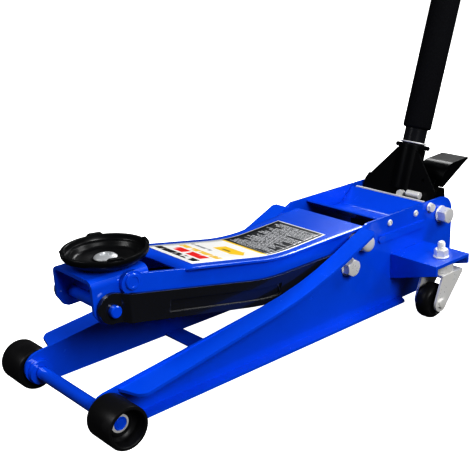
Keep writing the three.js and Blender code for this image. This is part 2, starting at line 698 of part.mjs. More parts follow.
const buttonZ = (handle.upperStart + handle.lowerEnd) / 2;
const buttonHole = barY(button.r + running, handle.upperR + 0.1, handle.r + 5, 0, buttonZ, 16);
const lowerTube = cut(pipe(handle.r, handle.wall, yoke.shoulder + touch, handle.lowerEnd), buttonHole);
const buttonBody = barY(button.r, handle.upperR + touch, handle.r + button.proud, 0, buttonZ, 16);
addTo(tilted, "handle_lower_tube", lowerTube, black);
addTo(tilted, "handle_upper_tube", pipe(handle.upperR, handle.wall, handle.upperStart, handle.end), black);
addTo(tilted, "handle_button", buttonBody, zinc);
const sleeveR = handle.r + touch + sleeve.wall;
addTo(tilted, "foam_sleeve", pipe(sleeveR, sleeve.wall, sleeve.z0, sleeve.z1), foam);
addTo(tilted, "handle_grip", handleGrip(), rubber);

// ---------- quick-lift pedal ----------
function pedalBody() {
  const { foot, rise, tip, x0, x1, t } = pedal;
  const line = rounded([[foot.y, foot.z], [rise.y, rise.z], [tip.y, tip.z]], pedal.bend, 8);
  const tread = slabX(sheet(line, 0, t), x0, x1);
  const past = new THREE.CylinderGeometry(socketOuter + pedal.clear, socketOuter + pedal.clear, 400, 48);
  const socketSpace = solid(past.rotateX(Math.PI / 2 - rad(lean)));
  const under = sheet(line, -1, t - 1).slice(0, line.length);
  const gusset = slabX([...under, [tip.y - 3, tip.z - 4], [foot.y + 4, foot.z]], x1 - t, x1);
  const { r, x0: hub0, x1: hub1, pinR } = pedalHub;
  const arm = [[-9, 4], [foot.y - 6, foot.z + 1], [foot.y + 3, foot.z + 12], [foot.y + 12, foot.z], [10, -7]];
  const lever = slabX(arm, hub0 + 4, hub1 - 4);
  const body = join(cut(tread, socketSpace), gusset, lever, barX(r, hub0, hub1, 0, 0));
  return cut(body, barX(pinR + running, 0, 200, 0, 0));
}

const pedalGroup = new THREE.Group();
pedalGroup.position.copy(tilted.position);
jack.add(pedalGroup);
addTo(pedalGroup, "foot_pedal", pedalBody(), black);

// ---------- casters ----------
function casterBracket() {
  const { top, t, y0, y1, outer, deep, shallow, flangeT } = bracket;
  const inner = webOuter + touch;
  const wing = [[inner, top - deep], [inner, top], [outer, top], [outer, top - shallow]];
  const body = join(
    box(inner, outer, y0, y1, top - t, top),
    slabY(wing, y0, y0 + flangeT),
    slabY(wing, y1 - flangeT, y1),
  );
  return cut(body, barZ(stud.r + running, top - t - 1, top + 1, caster.x, caster.y));
}

// Stud, nut, washer and upper race in one, clamped through the bracket; the fork turns on its head.
function casterStem() {
  const { r, flats, washerT, nut, top, raceR, headR, headT } = stud;
  const { x, y } = caster;
  const seat = bracket.top + touch;
  const under = bracket.top - bracket.t - touch;
  const forkBottom = fork.top - fork.topT;
  return join(
    barZ(r, forkBottom - headT, top, x, y, 20),
    barZ(flats * 0.63, seat, seat + washerT, x, y),
    barZ(hexR(flats), seat + washerT - 0.1, seat + washerT + nut, x, y, 6),
    barZ(raceR, fork.top + touch, under, x, y),
    barZ(headR, forkBottom - touch - headT, forkBottom - touch, x, y),
  );
}

function casterFork() {
  const { half, t, top, front, rear, endR, topT } = fork;
  const axleAt = [-caster.trail, caster.r];
  const cheek = [
    [front, top], [rear, top], [rear, top - 5], [axleAt[0] + endR * 0.94, axleAt[1] - 5],
    [axleAt[0] - endR * 0.98, axleAt[1] + 3],
  ];
  const plates = [half - t, -half].map((x) =>
    join(slabX(cheek, x, x + t), barX(endR, x, x + t, ...axleAt)),
  );
  const body = join(box(-half, half, front, rear, top - topT, top), ...plates);
  return cut(
    body,
    barX(caster.axleR + running, -100, 100, ...axleAt),
    barZ(stud.r + running, top - topT - 1, top + 1, 0, 0),
  );
}

function casterWheel() {
  const { r, half, axleR } = caster;
  const tyre = turned([[0, -half], [r - 7, -half], [r - 2, -half + 3], [r, -half + 8],
    [r, half - 8], [r - 2, half - 3], [r - 7, half], [0, half]]);
  return cut(tyre, barZ(axleR + running, -half - 1, half + 1, 0, 0));
}

function casterAxle() {
  const head = (x0, x1) => barX(8, x0, x1, 0, 0, 20);
  const seat = fork.half + touch;
  const shaft = barX(caster.axleR, -seat - 3, seat + 3, 0, 0, 20);
  return join(shaft, head(seat, seat + 3), head(-seat - 3, -seat));
}

function addCaster(name, sign) {
  const group = new THREE.Group();
  group.position.set(sign * caster.x, caster.y, 0);
  jack.add(group);
  addTo(group, `caster_fork_${name}`, casterFork(), zinc);
  const onAxle = new THREE.Group();
  onAxle.position.set(0, -caster.trail, caster.r);
  group.add(onAxle);
  addTo(onAxle, `caster_wheel_${name}`, casterWheel(), nylon).rotation.y = Math.PI / 2;
  addTo(onAxle, `caster_axle_${name}`, casterAxle(), zinc);
}

addPair("caster_bracket", casterBracket(), blue);
addPair("caster_stem", casterStem(), zinc);
addCaster("right", 1);
addCaster("left", -1);

// The origin is the middle of the footprint, on the floor.
const bounds = new THREE.Box3().setFromObject(jack);
jack.position.y = -(bounds.min.y + bounds.max.y) / 2;

export default jack;
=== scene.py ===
import json
import math

import bmesh
import bpy
from mathutils import Matrix, Vector

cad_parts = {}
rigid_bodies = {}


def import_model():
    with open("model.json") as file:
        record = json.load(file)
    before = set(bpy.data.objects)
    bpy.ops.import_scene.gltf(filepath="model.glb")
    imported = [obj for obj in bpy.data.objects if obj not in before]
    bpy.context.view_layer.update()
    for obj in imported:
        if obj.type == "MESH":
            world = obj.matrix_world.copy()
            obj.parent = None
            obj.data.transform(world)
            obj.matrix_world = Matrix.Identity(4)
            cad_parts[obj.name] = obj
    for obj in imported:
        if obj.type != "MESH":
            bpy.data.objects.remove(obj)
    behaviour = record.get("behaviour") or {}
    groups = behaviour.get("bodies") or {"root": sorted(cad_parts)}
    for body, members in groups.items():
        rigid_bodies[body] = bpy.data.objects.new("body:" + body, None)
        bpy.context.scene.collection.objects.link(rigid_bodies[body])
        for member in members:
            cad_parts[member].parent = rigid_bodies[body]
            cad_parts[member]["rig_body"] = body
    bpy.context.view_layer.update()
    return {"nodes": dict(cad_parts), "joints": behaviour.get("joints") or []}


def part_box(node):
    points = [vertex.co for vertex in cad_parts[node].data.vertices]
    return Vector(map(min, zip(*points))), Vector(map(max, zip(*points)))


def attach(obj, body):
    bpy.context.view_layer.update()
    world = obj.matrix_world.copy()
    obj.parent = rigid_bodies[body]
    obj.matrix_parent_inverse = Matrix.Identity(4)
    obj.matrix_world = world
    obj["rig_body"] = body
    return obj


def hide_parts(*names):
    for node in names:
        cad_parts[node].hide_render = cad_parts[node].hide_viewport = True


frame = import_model()
scene = bpy.context.scene
nodes = frame["nodes"]
joints = {joint["name"]: joint for joint in frame["joints"]}
print("frame loaded:", len(nodes), "nodes")


# places taken from the frame
def middle(node):
    low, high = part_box(node)
    return (low + high) / 2


def pivot(joint):
    return Vector(joints[joint]["pos_m"])


sides = {"right": 1, "left": -1}
liftAxis = pivot("arm_lift")
linkAxis = pivot("link_swing")
headAxis = pivot("head_level")
tiltAxis = pivot("handle_tilt")
handleLine = Vector(joints["handle_turn"]["axis"]).normalized()
across = Vector((1, 0, 0))
aft = Vector((0, 1, 0))
upward = Vector((0, 0, 1))
webOuter = 0.0832  # x of the outer face of a side plate's web
seat = 0.0003  # clearance between a fastener and the face that it sits on


# camera
cameraSettings = {"place": (0.9154, -0.95422, 0.5722), "turn": (67.693, 2.46, 48.649), "lens": 67.89,
                  "shift": (-0.0198, 0.1123)}
cameraData = bpy.data.cameras.new("camera")
cameraData.lens = cameraSettings["lens"]
cameraData.sensor_width = 36
cameraData.shift_x, cameraData.shift_y = cameraSettings["shift"]
camera = bpy.data.objects.new("camera", cameraData)
camera.location = cameraSettings["place"]
camera.rotation_euler = [math.radians(a) for a in cameraSettings["turn"]]
scene.collection.objects.link(camera)
scene.camera = camera


# shader expressions
class Wire:
    def __init__(self, finish, socket):
        self.finish = finish
        self.socket = socket

    def math(self, operation, *values, **settings):
        return self.finish.node("ShaderNodeMath", {"operation": operation, **settings},
                                dict(enumerate((self, *values))))

    def __add__(self, other):
        return self.math("ADD", other)

    def __sub__(self, other):
        return self.math("SUBTRACT", other)

    def __mul__(self, other):
        return self.math("MULTIPLY", other)

    def __truediv__(self, other):
        return self.math("DIVIDE", other)

    def __rsub__(self, other):
        return self.math("MULTIPLY", -1) + other

    def __pow__(self, other):
        return self.math("POWER", other)

    __radd__ = __add__
    __rmul__ = __mul__

    def above(self, edge, soft=0.0004):
        return self.finish.node("ShaderNodeMapRange", {"interpolation_type": "SMOOTHSTEP"},
                                {"Value": self, "From Min": edge - soft, "From Max": edge + soft})

    def below(self, edge, soft=0.0004):
        return 1 - self.above(edge, soft)

    def within(self, low, high, soft=0.0004):
        return self.above(low, soft) * self.below(high, soft)

    def size(self):
        return self.math("ABSOLUTE")


class Finish:
    def __init__(self, name, **shaderValues):
        self.material = bpy.data.materials.new(name)
        self.material.use_nodes = True
        self.tree = self.material.node_tree
        self.tree.nodes.clear()
        self.shader = self.tree.nodes.new("ShaderNodeBsdfPrincipled")
        output = self.tree.nodes.new("ShaderNodeOutputMaterial")
        self.tree.links.new(self.shader.outputs[0], output.inputs[0])
        self.set(**shaderValues)

    def feed(self, socket, value):
        if isinstance(value, Wire):
            self.tree.links.new(value.socket, socket)
        elif socket.type == "RGBA" and len(value) == 3:
            socket.default_value = (*value, 1)
        else:
            socket.default_value = value

    def set(self, **values):
        for name, value in values.items():
            self.feed(self.shader.inputs[name.replace("_", " ")], value)

    def node(self, kind, settings, sockets, out=0):
        made = self.tree.nodes.new(kind)
        for key, value in settings.items():
            setattr(made, key, value)
        for key, value in sockets.items():
            self.feed(made.inputs[key], value)
        return Wire(self, made.outputs[out])

    def place(self):
        return self.node("ShaderNodeTexCoord", {}, {}, "Object")

    def axis(self, letter):
        return self.node("ShaderNodeSeparateXYZ", {}, {0: self.place()}, letter)

    def noise(self, scale, detail=3.0, roughness=0.5, stretch=(1, 1, 1)):
        at = self.node("ShaderNodeMapping", {}, {"Vector": self.place(), "Scale": stretch})
        return self.node("ShaderNodeTexNoise", {}, {"Vector": at, "Scale": scale, "Detail": detail,
                                                    "Roughness": roughness})

    def cells(self, scale):
        return self.node("ShaderNodeTexVoronoi", {}, {"Vector": self.place(), "Scale": scale}, "Distance")

    def blend(self, factor, under, over):
        return self.node("ShaderNodeMix", {"data_type": "RGBA"}, {0: factor, 6: under, 7: over}, 2)

    def bump(self, height, strength, distance):
        sockets = {"Height": height, "Strength": strength, "Distance": distance}
        self.set(Normal=self.node("ShaderNodeBump", {}, sockets))


def wear(finish, scale, amount):  # thin patches where a finish is rubbed or dusty
    return finish.noise(scale, 5, 0.6).above(1 - amount, 0.12)


# finishes
def enamel(name, deep, bright, roughness, coat, peel, sheen):
    finish = Finish(name, IOR=1.5, Coat_Roughness=0.05, Specular_IOR_Level=sheen)
    cloud = finish.noise(9, 3)
    dust = wear(finish, 60, 0.36)
    colour = finish.blend(cloud, deep, bright)
    finish.set(Base_Color=finish.blend(dust * 0.1, colour, [c * 1.3 for c in bright]),
               Roughness=finish.noise(35, 4) * 0.1 + (roughness - 0.05) + dust * 0.03,
               Coat_Weight=coat - dust * coat * 0.1)
    finish.bump(finish.noise(420, 2) + finish.noise(90, 1) * 0.6, peel, 0.0006)
    return finish.material


def plated(name, colour, warm, roughness, scale, metal):
    finish = Finish(name, Metallic=metal)
    patch = finish.noise(55, 4, 0.6)
    grain = finish.cells(scale)
    finish.set(Base_Color=finish.blend(patch, colour, warm),
               Roughness=patch * 0.16 + grain * 0.1 + (roughness - 0.1))
    finish.bump(grain + patch, 0.12, 0.0003)
    return finish.material


def turnedSteel(name, colour, roughness):
    finish = Finish(name, Metallic=1.0)
    lines = finish.noise(900, 2, 0.5, (1, 0.05, 0.05))
    finish.set(Base_Color=finish.blend(finish.noise(30), colour, [c * 0.8 for c in colour]),
               Roughness=lines * 0.2 + (roughness - 0.1))
    finish.bump(lines, 0.15, 0.0002)
    return finish.material


def castIron(name):
    finish = Finish(name, Metallic=0.5)
    grit = finish.noise(500, 4, 0.6)
    finish.set(Base_Color=finish.blend(finish.noise(40), (0.02, 0.02, 0.022), (0.07, 0.07, 0.075)),
               Roughness=grit * 0.2 + 0.45)
    finish.bump(grit, 0.5, 0.0006)
    return finish.material


def moulded(name, colour, roughness, grainScale, grainDepth):
    finish = Finish(name, IOR=1.48, Specular_IOR_Level=0.25)
    grain = finish.noise(grainScale, 3)
    scuff = wear(finish, 45, 0.4)
    paler = [min(c * 2 + 0.004, 1) for c in colour]
    finish.set(Base_Color=finish.blend(scuff * 0.35, colour, paler),
               Roughness=grain * 0.15 + (roughness - 0.07) + scuff * 0.08)
    finish.bump(grain, grainDepth, 0.0005)
    return finish.material


def closedFoam(name):
    finish = Finish(name, IOR=1.4, Specular_IOR_Level=0.12)
    pores = finish.cells(900)
    lumps = finish.noise(60, 4)
    finish.set(Base_Color=finish.blend(pores, (0.006, 0.006, 0.0075), (0.015, 0.0155, 0.0185)),
               Roughness=lumps * 0.1 + 0.72)
    finish.bump(pores + lumps * 0.5, 0.5, 0.0007)
    return finish.material


blueEnamel = enamel("blue_enamel", (0.0, 0.088, 0.7), (0.0, 0.115, 0.84), 0.24, 0.9, 0.06, 0.5)
blackEnamel = enamel("black_enamel", (0.014, 0.0145, 0.0175), (0.018, 0.019, 0.023), 0.2, 0.8, 0.06, 0.5)
satinBlack = enamel("satin_black", (0.0018, 0.002, 0.0025), (0.0035, 0.004, 0.0048), 0.34, 0.12, 0.1, 0.2)
saddleBlack = enamel("saddle_black", (0.006, 0.0063, 0.007), (0.009, 0.0095, 0.0105), 0.36, 0.12, 0.1, 0.3)
zincPlate = plated("zinc_plate", (0.86, 0.87, 0.89), (0.89, 0.87, 0.82), 0.28, 260, 0.3)
brightZinc = plated("bright_zinc", (0.74, 0.74, 0.75), (0.78, 0.77, 0.75), 0.36, 260, 0.2)
screwZinc = plated("screw_zinc", (0.5, 0.52, 0.54), (0.57, 0.58, 0.59), 0.32, 400, 0.4)
bareSteel = turnedSteel("bare_steel", (0.52, 0.53, 0.55), 0.28)
rawIron = castIron("cast_iron")
nylon = moulded("roller_nylon", (0.0135, 0.0135, 0.0145), 0.34, 300, 0.12)
softGrip = moulded("grip_rubber", (0.006, 0.006, 0.007), 0.62, 700, 0.4)
foam = closedFoam("sleeve_foam")
print("finishes made")


# mesh helpers
def addObject(name, mesh, material=None):
    piece = bpy.data.objects.new(name, mesh)
    scene.collection.objects.link(piece)
    if material:
        mesh.materials.clear()
        mesh.materials.append(material)
    return piece


def soften(piece, angle=32):
    piece.data.shade_smooth()
    piece.data.set_sharp_from_angle(angle=math.radians(angle))


def bevelled(piece, width, segments=2, angle=30):
    bevel = piece.modifiers.new("bevel", "BEVEL")
    bevel.width = width
    bevel.segments = segments
    bevel.limit_method = "ANGLE"
    bevel.angle_limit = math.radians(angle)
    bevel.use_clamp_overlap = True
    bevel.miter_outer = "MITER_ARC"
    weighted = piece.modifiers.new("weighted", "WEIGHTED_NORMAL")
    weighted.keep_sharp = True
    return piece


def carry(piece, body, slot, *replaced):
    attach(piece, body)
    if replaced:
        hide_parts(*replaced)
    return piece


def refined(node, material, slot, width=0.0007, segments=2, angle=32):  # a node with eased edges
    source = nodes[node]
    mesh = source.data.copy()
    shape = bmesh.new()
    shape.from_mesh(mesh)
    bmesh.ops.remove_doubles(shape, verts=shape.verts, dist=1e-5)
    bmesh.ops.dissolve_limit(shape, angle_limit=math.radians(0.6), verts=shape.verts, edges=shape.edges)
    shape.to_mesh(mesh)
    shape.free()
    piece = addObject(node + "_finished", mesh, material)
    soften(piece, angle)
    bevelled(piece, width, segments, angle)
    return carry(piece, source["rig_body"], slot, node)


def basisFor(direction):
    z = Vector(direction).normalized()
    x = z.cross(upward) if abs(z.z) < 0.9 else z.cross(aft)
    x.normalize()
    return x, z.cross(x), z


def meshFrom(verts, faces):
    mesh = bpy.data.meshes.new("mesh")
    mesh.from_pydata(verts, [], faces)
    mesh.update()
    return mesh


def turnedMesh(profile, base, direction, sides=64):  # (radius, height) profile about a line
    x, y, z = basisFor(direction)
    base = Vector(base)
    verts, rings = [], []
    for r, h in profile:
        if r < 1e-7:
            rings.append([len(verts)])
            verts.append(base + z * h)
            continue
        rings.append(list(range(len(verts), len(verts) + sides)))
        for i in range(sides):
            a = 2 * math.pi * i / sides
            verts.append(base + z * h + (x * math.cos(a) + y * math.sin(a)) * r)
    faces = []
    for low, high in zip(rings, rings[1:]):
        if len(low) == len(high) == 1:
            continue
        for i in range(sides):
            k = (i + 1) % sides
            if len(low) == 1:
                faces.append((low[0], high[k], high[i]))
            elif len(high) == 1:
                faces.append((low[i], low[k], high[0]))
            else:
                faces.append((low[i], low[k], high[k], high[i]))
    return meshFrom(verts, faces)


def outward(mesh):
    shape = bmesh.new()
    shape.from_mesh(mesh)
    bmesh.ops.remove_doubles(shape, verts=shape.verts, dist=1e-7)
    bmesh.ops.recalc_face_normals(shape, faces=shape.faces)
    shape.to_mesh(mesh)
    shape.free()
    return mesh


def ring(profile):  # closes a hollow profile onto itself
    return [*profile, profile[0]]


def turned(name, profile, base, direction, material, sides=64, angle=30):
    piece = addObject(name, outward(turnedMesh(profile, base, direction, sides)), material)
    soften(piece, angle)
    return piece


def eased(points, radius, steps=4):  # rounds the inner corners of a run of points
    out = [Vector(points[0])]
    for before, corner, after in zip(points, points[1:], points[2:]):
        p, q, s = Vector(before), Vector(corner), Vector(after)
        reach = min(radius, (p - q).length * 0.45, (s - q).length * 0.45)
        start, end = q + (p - q).normalized() * reach, q + (s - q).normalized() * reach
        for i in range(steps + 1):
            t = i / steps
            out.append(start * (1 - t) ** 2 + q * 2 * t * (1 - t) + end * t * t)
    out.append(Vector(points[-1]))
    return [tuple(p) for p in out]


def pushedMesh(outline, depth, origin, u, v, w):  # an outline in (u, v) given a thickness along w
    front = [origin + u * a + v * b for a, b in outline]
    back = [p + w * depth for p in front]
    n = len(outline)
    faces = [tuple(range(n)), tuple(range(2 * n - 1, n - 1, -1))]
    faces += [(i, i + n, (i + 1) % n + n, (i + 1) % n) for i in range(n)]
    return outward(meshFrom(front + back, faces))


def joined(*meshes):
    shape = bmesh.new()
    for mesh in meshes:
        shape.from_mesh(mesh)
    whole = bpy.data.meshes.new("mesh")
    shape.to_mesh(whole)
    shape.free()
    return whole


def hexMesh(flats, height, base, direction):  # a hexagon head with a turned chamfer
    x, y, z = basisFor(direction)
    verts, faces = [], []
    count = 36  # points round the head, a multiple of six
    faceWidth = 0.93  # the flat top against the width over flats
    slope = 1.1  # how far the chamfer drops for each step outward

    def edge(i, top):
        a = 2 * math.pi * i / count
        inSector = (a + math.pi / 6) % (math.pi / 3) - math.pi / 6
        reach = flats / 2 / math.cos(inSector)
        drop = (reach - flats / 2) * slope if top else 0
        return reach, drop

    for level in range(3):
        for i in range(count):
            a = 2 * math.pi * i / count
            reach, drop = edge(i, level == 1)
            h = {0: 0, 1: height - drop, 2: height}[level]
            w = flats / 2 * faceWidth if level == 2 else reach
            verts.append(Vector(base) + z * h + (x * math.cos(a) + y * math.sin(a)) * w)
    for low in (0, count):
        for i in range(count):
            k = (i + 1) % count
            faces.append((low + i, low + k, low + count + k, low + count + i))
    faces.append(tuple(range(count))[::-1])
    faces.append(tuple(range(2 * count, 3 * count)))
    return outward(meshFrom(verts, faces))


# what repeats, made with geometry nodes
def numberInput(tree, name, kind, value):
    socket = tree.interface.new_socket(name, in_out="INPUT", socket_type=kind)
    socket.default_value = value
    return socket


def copiesTree(name, around):
    tree = bpy.data.node_groups.new(name, "GeometryNodeTree")
    tree.interface.new_socket("Geometry", in_out="INPUT", socket_type="NodeSocketGeometry")
    count = numberInput(tree, "Count", "NodeSocketInt", 4)
    step = numberInput(tree, "Step", "NodeSocketVector", (0, 0, 0))
    finish = tree.interface.new_socket("Finish", in_out="INPUT", socket_type="NodeSocketMaterial")
    tree.interface.new_socket("Geometry", in_out="OUTPUT", socket_type="NodeSocketGeometry")
    make = tree.nodes.new
    inputs = make("NodeGroupInput")
    output = make("NodeGroupOutput")
    points = make("GeometryNodePoints")
    index = make("GeometryNodeInputIndex")
    scaled = make("ShaderNodeVectorMath")
    spread = make("GeometryNodeInstanceOnPoints")
    real = make("GeometryNodeRealizeInstances")
    paint = make("GeometryNodeSetMaterial")
    scaled.operation = "SCALE"
    link = tree.links.new
    link(inputs.outputs["Count"], points.inputs["Count"])
    link(inputs.outputs["Step"], scaled.inputs[0])
    link(index.outputs[0], scaled.inputs["Scale"])
    link(inputs.outputs["Geometry"], spread.inputs["Instance"])
    if around:  # each copy is turned by the step
        link(scaled.outputs[0], spread.inputs["Rotation"])
    else:  # each copy is moved by the step
        link(scaled.outputs[0], points.inputs["Position"])
    link(points.outputs[0], spread.inputs["Points"])
    link(spread.outputs[0], real.inputs[0])
    link(real.outputs[0], paint.inputs["Geometry"])
    link(inputs.outputs["Finish"], paint.inputs["Material"])
    link(paint.outputs[0], output.inputs[0])
    return tree, {"Count": count.identifier, "Step": step.identifier, "Finish": finish.identifier}


rowTree, rowInputs = copiesTree("row_of_copies", False)
ringTree, ringInputs = copiesTree("ring_of_copies", True)


def copies(name, mesh, count, step, material, place=None, around=False):
    tree, inputs = (ringTree, ringInputs) if around else (rowTree, rowInputs)
    carrier = addObject(name + "_seed", mesh)
    modifier = carrier.modifiers.new("copies", "NODES")
    modifier.node_group = tree
    modifier[inputs["Count"]] = count
    modifier[inputs["Step"]] = step
    modifier[inputs["Finish"]] = material
    bpy.context.view_layer.update()
    made = bpy.data.meshes.new_from_object(carrier.evaluated_get(bpy.context.evaluated_depsgraph_get()))
    bpy.data.objects.remove(carrier)
    if place:
        made.transform(place)
    piece = addObject(name, made, material)
    soften(piece)
    return piece


def frameAt(base, direction):
    x, y, z = basisFor(direction)
    turn = Matrix((x, y, z)).transposed().to_4x4()
    return Matrix.Translation(Vector(base)) @ turn


# chassis
for side in sides:
    refined(f"side_plate_{side}", blueEnamel, "blue_paint", 0.0009, 3)
    refined(f"caster_bracket_{side}", blueEnamel, "blue_paint", 0.0013, 3)
for node in ("front_cross_plate", "rear_cross_plate", "rear_tray"):
    refined(node, blueEnamel, "blue_paint", 0.0007, 2, 40)
refined("rear_tray_strip", brightZinc, "zinc_plate", 0.0008)
print("chassis made")


axleSizes = {"bevel": 0.0012, "dimple": 0.0008}


def axleBar():
    low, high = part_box("front_axle")
    r = (high.z - low.z) / 2
    half = high.x
    bevel = axleSizes["bevel"]
    end = [(0, 0), (r * 0.55, 0), (r * 0.62, axleSizes["dimple"]), (r - bevel, 0), (r, bevel)]
    profile = [(a, b - half) for a, b in end] + [(a, half - b) for a, b in reversed(end)]
    start = (0, middle("front_axle").y, middle("front_axle").z)
    carry(turned("axle_bar", profile, start, across, blueEnamel), "chassis", "blue_paint", "front_axle")


rollerSizes = {"bore": 0.0094, "edge": 0.0022, "wall": 0.0042, "dish": 0.0185, "hub": 0.0165}


def frontRoller(side, sign):
    low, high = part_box(f"front_roller_{side}")
    s = rollerSizes
    r = (high.z - low.z) / 2
    width = high.x - low.x
    bore, edge, hub = s["bore"], s["edge"], s["hub"]
    rim = r - s["wall"]
    inner = low.x if sign > 0 else high.x
    out = width - s["dish"] - 0.0024
    profile = [
        (bore, 0), (hub, 0), (hub + 0.001, 0.0012), (r - 0.005, 0.0012), (r - 0.0035, 0), (r - edge, 0),
        (r - 0.0006, 0.0007), (r, edge), (r, width - edge), (r - 0.0006, width - 0.0007),
        (r - edge, width), (rim, width), (rim - 0.0008, width - 0.0008),
        (rim - 0.0016, out + 0.004), (rim - 0.0036, out + 0.0012), (hub + 0.002, out),
        (hub + 0.0006, out + 0.0004), (hub, out + 0.0018), (hub - 0.0006, out + 0.0022),
        (bore + 0.0006, out + 0.0022), (bore, out + 0.0016),
    ]
    start = (inner, middle(f"front_roller_{side}").y, middle(f"front_roller_{side}").z)
    roller = turned(f"roller_tyre_{side}", ring(profile), start, across * sign, nylon, 96)
    carry(roller, f"roller_{side}", "roller_nylon", f"front_roller_{side}")


ringSizes = {"bore": 0.0092, "thick": 0.003}


def axleRing(side, sign):
    low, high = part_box(f"axle_ring_{side}")
    inner = low.x if sign > 0 else high.x
    r = (high.z - low.z) / 2
    bore, thick = ringSizes["bore"], ringSizes["thick"]
    profile = [(bore, 0), (r - 0.0004, 0), (r, 0.0004), (r, 0.0012), (r - 0.0008, 0.002),
               (bore + 0.002, 0.0022), (bore + 0.0006, thick), (bore, thick)]
    start = (inner, middle(f"axle_ring_{side}").y, middle(f"axle_ring_{side}").z)
    carry(turned(f"retaining_ring_{side}", ring(profile), start, across * sign, brightZinc), "chassis",
          "zinc_plate", f"axle_ring_{side}")


axleBar()
for side, sign in sides.items():
    frontRoller(side, sign)
    axleRing(side, sign)
print("front axle made")

boltSizes = {"washer": 0.0025, "threadPitch": 0.0016, "linkFlats": 0.024, "yokeFlats": 0.023,
             "tieFlats": 0.013}


def threadRings(name, radius, length, base, direction, material, body):
    pitch = boltSizes["threadPitch"]
    crest = turnedMesh(ring([(radius - 0.0009, 0), (radius, pitch * 0.45), (radius - 0.0009, pitch * 0.9)]),
                       (0, 0, 0), upward, 28)
    count = max(int(length / pitch), 1)
    made = copies(name, outward(crest), count, (0, 0, pitch), material, frameAt(base, direction))
    return carry(made, body, "zinc_plate")


def washerMesh(radius, thick, base, direction):
    return turnedMesh([(0, 0), (radius - 0.0004, 0), (radius, 0.0004), (radius, thick - 0.0004),
                       (radius - 0.0004, thick), (0, thick)], base, direction, 48)


def sideBolt(node, flats, axisPlace, sign):  # a washer and a hexagon head outside a side plate
    low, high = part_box(node)
    outer = high.x if sign > 0 else low.x
    start = Vector((sign * (webOuter + seat), axisPlace.y, axisPlace.z))
    way = across * sign
    reach = abs(outer - start.x)
    washer = washerMesh(flats * 0.6, boltSizes["washer"], start, way)
    head = hexMesh(flats, reach - boltSizes["washer"], start + way * boltSizes["washer"], way)
    made = addObject(node + "_hex", joined(washer, head), zincPlate)
    soften(made, 28)
    body = nodes[node]["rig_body"]
    carry(made, body, "zinc_plate", node)


def domedCap(sign):
    low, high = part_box("lift_shaft")
    r = (high.z - low.z) / 2
    start = Vector((sign * (webOuter + seat), liftAxis.y, liftAxis.z))
    reach = high.x - webOuter - seat
    profile = [(0, -0.001), (r * 1.08, -0.001), (r * 1.08, 0.0018), (r, 0.0024), (r, reach - 0.0055),
               (r * 0.97, reach - 0.0034), (r * 0.86, reach - 0.0016), (r * 0.66, reach - 0.0006),
               (r * 0.4, reach - 0.0001), (0, reach)]
    return turnedMesh(profile, start, across * sign, 64)


shaftSizes = {"radius": 0.01}


def barProfile(radius, low, high):  # the profile of a plain bar between two heights
    return [(0, low), (radius, low), (radius, high), (0, high)]


def liftShaft():
    profile = barProfile(shaftSizes["radius"], -webOuter, webOuter)
    bar = turnedMesh(profile, (0, liftAxis.y, liftAxis.z), across, 48)
    whole = outward(joined(bar, domedCap(1), domedCap(-1)))
    made = addObject("lift_shaft_capped", whole, brightZinc)
    soften(made)
    carry(made, "chassis", "zinc_plate", "lift_shaft")


liftShaft()
for side, sign in sides.items():
    sideBolt(f"link_bolt_{side}", boltSizes["linkFlats"], linkAxis, sign)
    sideBolt(f"yoke_bolt_{side}", boltSizes["yokeFlats"], tiltAxis, sign)
    sideBolt(f"tie_bolt_{side}", boltSizes["tieFlats"], middle(f"tie_bolt_{side}"), sign)
    refined(f"caster_fork_{side}", zincPlate, "zinc_plate", 0.0007, 2)

screwSizes = {"radius": 0.0052, "height": 0.0026, "gap": 0.062, "fromPivot": (-0.125, 0.0155)}


def traySetScrews(side, sign):  # round heads that hold the tray to a side plate
    s = screwSizes
    r, h = s["radius"], s["height"]
    profile = [(0, 0), (r, 0), (r, h * 0.35), (r * 0.8, h * 0.85), (r * 0.45, h), (r * 0.36, h * 0.45),
               (0, h * 0.45)]
    head = turnedMesh(profile, (0, 0, 0), across * sign, 32)
    y, z = s["fromPivot"]
    place = Matrix.Translation((sign * webOuter, tiltAxis.y + y, tiltAxis.z + z))
    made = copies(f"tray_screws_{side}", outward(head), 2, (0, s["gap"], 0), zincPlate, place)
    carry(made, "chassis", "zinc_plate")


for side, sign in sides.items():
    traySetScrews(side, sign)
print("bolts made")

# casters
casterSizes = {"bore": 0.0054, "pin": 0.005, "pinFlats": 0.0135, "pinHead": 0.0032, "bracketPlate": 0.0053,
               "stud": 0.006, "race": 0.019, "nutFlats": 0.019, "nut": 0.011, "washer": 0.0023}


def casterWheel(side):
    node = f"caster_wheel_{side}"
    low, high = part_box(node)
    r = (high.z - low.z) / 2
    w = high.x - low.x
    half = [(casterSizes["bore"], 0), (0.0095, 0), (0.0102, 0.0008), (0.0104, 0.002), (r - 0.008, 0.0024),
            (r - 0.0068, 0.0014), (r - 0.0058, 0.0004), (r - 0.0035, 0.001), (r - 0.0012, 0.0035),
            (r, 0.0075)]
    profile = [*half, *[(a, w - b) for a, b in reversed(half)]]
    start = (low.x, middle(node).y, middle(node).z)
    made = turned(f"caster_tyre_{side}", ring(profile), start, across, nylon, 80)
    carry(made, f"caster_wheel_{side}", "roller_nylon", node)


def casterAxle(side):
    node = f"caster_axle_{side}"
    s = casterSizes
    low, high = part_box(node)
    centre = middle(node)
    profile = barProfile(s["pin"], 0.003, high.x - low.x - 0.003)
    pin = turnedMesh(profile, (low.x, centre.y, centre.z), across, 40)
    parts = [outward(pin)]
    for x, way in ((low.x + s["pinHead"], -1), (high.x - s["pinHead"], 1)):
        parts.append(hexMesh(s["pinFlats"], s["pinHead"], (x, centre.y, centre.z), across * way))
    made = addObject(f"caster_bolt_{side}", joined(*parts), zincPlate)
    soften(made)
    carry(made, f"caster_{side}", "zinc_plate", node)


